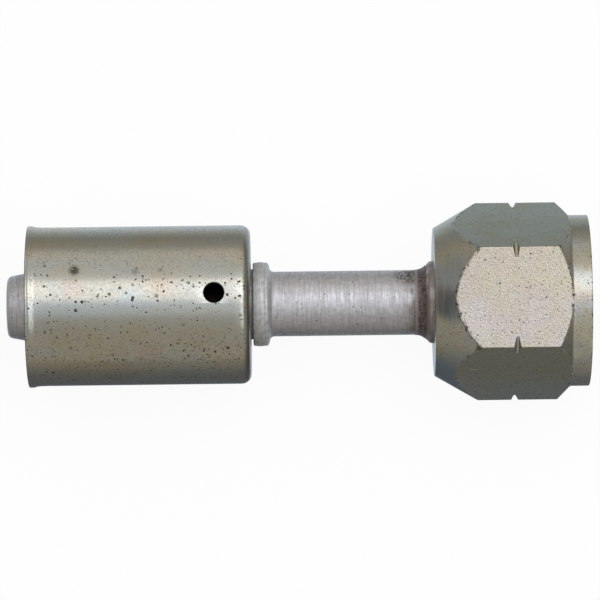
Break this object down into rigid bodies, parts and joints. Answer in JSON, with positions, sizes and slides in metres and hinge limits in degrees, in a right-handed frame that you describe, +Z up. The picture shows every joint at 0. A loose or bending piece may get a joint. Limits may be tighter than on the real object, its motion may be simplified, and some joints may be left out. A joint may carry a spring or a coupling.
{
  "type": "crimp hose fitting",
  "caption": "Straight steel crimp hose fitting: barbed insert and staked ferrule at the hose end, bare tube, and a brazed flare seat held by a hex swivel nut.",
  "frame": {"origin": "on the centre line, in the plane of the flare seat's sealing rim", "axes": "+X along the centre line, out through the nut's mouth; the hose end points to -X; +Z up, square to the nut's upper flat, so the part lies on the opposite flat"},
  "size_m": [0.1075, 0.0366, 0.0318],
  "materials": {
    "stem_steel": "turned mild steel, dull grey plating",
    "seat_steel": "turned mild steel, dull grey plating, heat-stained at the braze",
    "braze_copper": "copper braze, oxidised brown",
    "ferrule_steel": "drawn steel, worn yellow-olive zinc plating with rust specks",
    "nut_steel": "machined hex steel, worn yellow-olive zinc plating with rust pits"
  },
  "bodies": {
    "fitting": {"insert_stem": "stem_steel", "flare_seat": "seat_steel", "braze_fillet": "braze_copper", "ferrule": "ferrule_steel"},
    "nut": {"swivel_nut": "nut_steel"}
  },
  "joints": [
    {"name": "nut_spin", "type": "hinge", "parent": "fitting", "child": "nut", "pos_m": [0, 0, 0], "axis": [1, 0, 0], "continuous": true}
  ]
}
